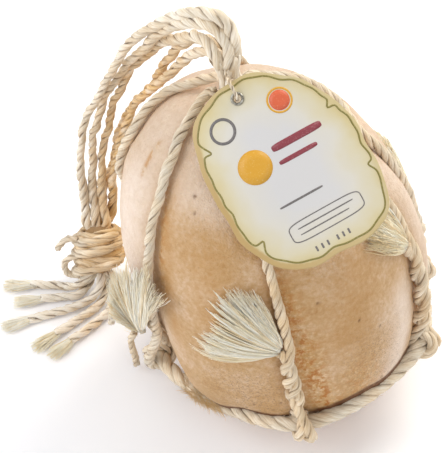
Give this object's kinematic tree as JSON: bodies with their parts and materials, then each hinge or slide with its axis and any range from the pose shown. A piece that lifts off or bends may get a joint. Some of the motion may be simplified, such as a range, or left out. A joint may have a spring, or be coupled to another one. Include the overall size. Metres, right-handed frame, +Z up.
{
  "type": "provolone cheese",
  "caption": "Whole melon-shaped hanging cheese in a rope net with a ring near its foot, an arched bundle of rope strands with a wrapped knot beside it, and a hanging card tag.",
  "frame": {"origin": "on the flat spot that the cheese stands on, 5 mm left of the spot's middle", "axes": "+Z up, the front with the middle rope faces -Y, the top leans towards -X, where the bundle hangs down"},
  "size_m": [0.2696, 0.1878, 0.2778],
  "materials": {
    "rind": "matt, mottled natural cheese rind",
    "net_rope": "matt laid plant-fibre rope",
    "golden_rope": "matt laid plant-fibre rope, tanned golden",
    "frayed_rope": "loose combed-out plant fibre",
    "card": "satin laminated card",
    "eyelet_metal": "satin rolled metal"
  },
  "bodies": {
    "root": {"bundle_strand_1": "golden_rope", "bundle_strand_2": "golden_rope", "bundle_strand_3": "golden_rope", "bundle_strand_4": "golden_rope", "bundle_strand_5": "golden_rope", "cheese_body": "rind", "end_tuft_1": "frayed_rope", "end_tuft_2": "frayed_rope", "end_tuft_3": "frayed_rope", "end_tuft_4": "frayed_rope", "end_tuft_5": "frayed_rope", "eyelet": "eyelet_metal", "gather_neck": "net_rope", "knot_slack_turn": "frayed_rope", "knot_tail": "frayed_rope", "loose_end_long": "net_rope", "loose_end_short": "net_rope", "net_rope_back": "net_rope", "net_rope_front": "net_rope", "net_rope_left": "net_rope", "net_rope_left_back": "net_rope", "net_rope_right": "net_rope", "net_rope_right_back": "net_rope", "ring_rope": "net_rope", "splayed_end_1": "net_rope", "splayed_end_2": "net_rope", "splayed_end_3": "net_rope", "splayed_end_4": "net_rope", "splayed_end_5": "net_rope", "tag": "card", "tag_string": "net_rope", "tassel_back": "frayed_rope", "tassel_front": "frayed_rope", "tassel_left": "frayed_rope", "tassel_left_back": "frayed_rope", "tassel_right": "frayed_rope", "tassel_right_back": "frayed_rope", "wrapped_knot": "golden_rope"}
  },
  "joints": []
}
